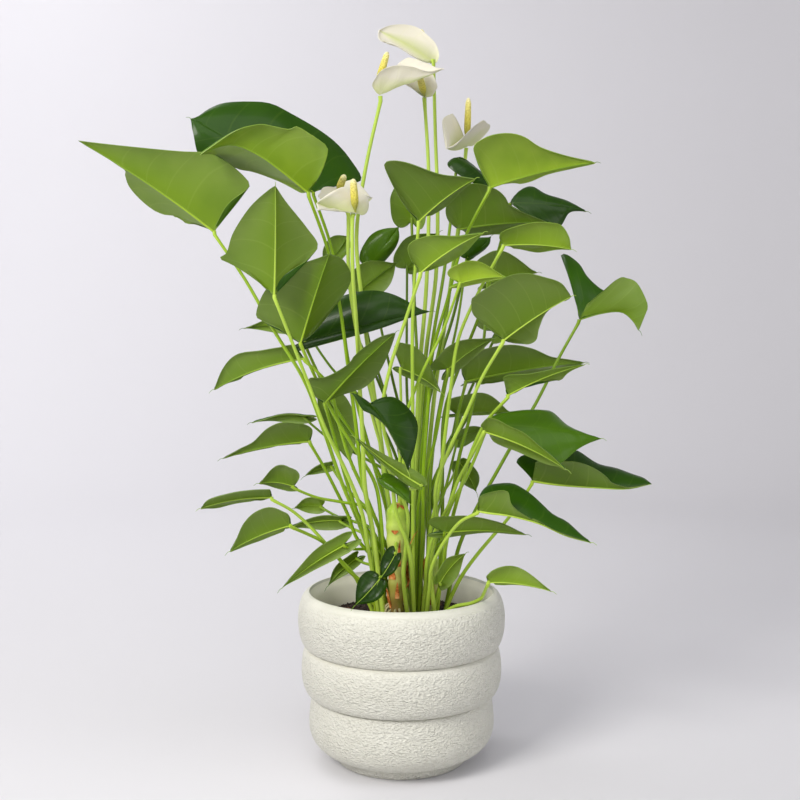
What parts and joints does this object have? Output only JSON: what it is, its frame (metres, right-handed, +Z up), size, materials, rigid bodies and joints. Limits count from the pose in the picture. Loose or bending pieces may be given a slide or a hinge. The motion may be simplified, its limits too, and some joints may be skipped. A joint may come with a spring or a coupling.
{
  "type": "potted anthurium",
  "caption": "White anthurium with heart-shaped leaves on long stalks, standing in a cream stoneware pot of stacked round swellings filled with soil.",
  "frame": {"origin": "centre of the pot's flat underside", "axes": "+Z up through the middle of the pot; the side shown in the picture faces -Y"},
  "size_m": [0.5354, 0.3606, 0.7495],
  "materials": {
    "stoneware": "unglazed cream stoneware with a fine leathery relief outside, smooth inside",
    "soil": "dark loose potting soil, matte",
    "leaf": "glossy green leaf, paler and satin underneath, with a light stalk",
    "stem": "smooth light green stem, satin",
    "spathe": "waxy creamy white, green-tinged at the foot",
    "spadix": "fine-grained yellow, matte"
  },
  "bodies": {
    "root": {"pot": "stoneware", "soil": "soil", "leaf_01": "leaf", "leaf_02": "leaf", "leaf_03": "leaf", "leaf_04": "leaf", "leaf_05": "leaf", "leaf_06": "leaf", "leaf_07": "leaf", "leaf_08": "leaf", "leaf_09": "leaf", "leaf_10": "leaf", "leaf_11": "leaf", "leaf_12": "leaf", "leaf_13": "leaf", "leaf_14": "leaf", "leaf_15": "leaf", "leaf_16": "leaf", "leaf_17": "leaf", "leaf_18": "leaf", "leaf_19": "leaf", "leaf_20": "leaf", "leaf_21": "leaf", "leaf_22": "leaf", "leaf_23": "leaf", "leaf_24": "leaf", "leaf_25": "leaf", "leaf_26": "leaf", "leaf_27": "leaf", "leaf_28": "leaf", "leaf_29": "leaf", "leaf_30": "leaf", "leaf_31": "leaf", "leaf_32": "leaf", "leaf_33": "leaf", "leaf_34": "leaf", "shoot_front": "stem", "shoot_right": "stem", "shoot_left": "stem", "shoot_back": "stem", "bloom_1_stalk": "stem", "bloom_1_spathe": "spathe", "bloom_1_spadix": "spadix", "bloom_2_stalk": "stem", "bloom_2_spathe": "spathe", "bloom_2_spadix": "spadix", "bloom_3_stalk": "stem", "bloom_3_spathe": "spathe", "bloom_3_spadix": "spadix", "bloom_4_stalk": "stem", "bloom_4_spathe": "spathe", "bloom_4_spadix": "spadix", "bloom_5_stalk": "stem", "bloom_5_spathe": "spathe", "bloom_5_spadix": "spadix", "bloom_6_stalk": "stem", "bloom_6_spathe": "spathe", "bloom_6_spadix": "spadix"}
  },
  "joints": []
}
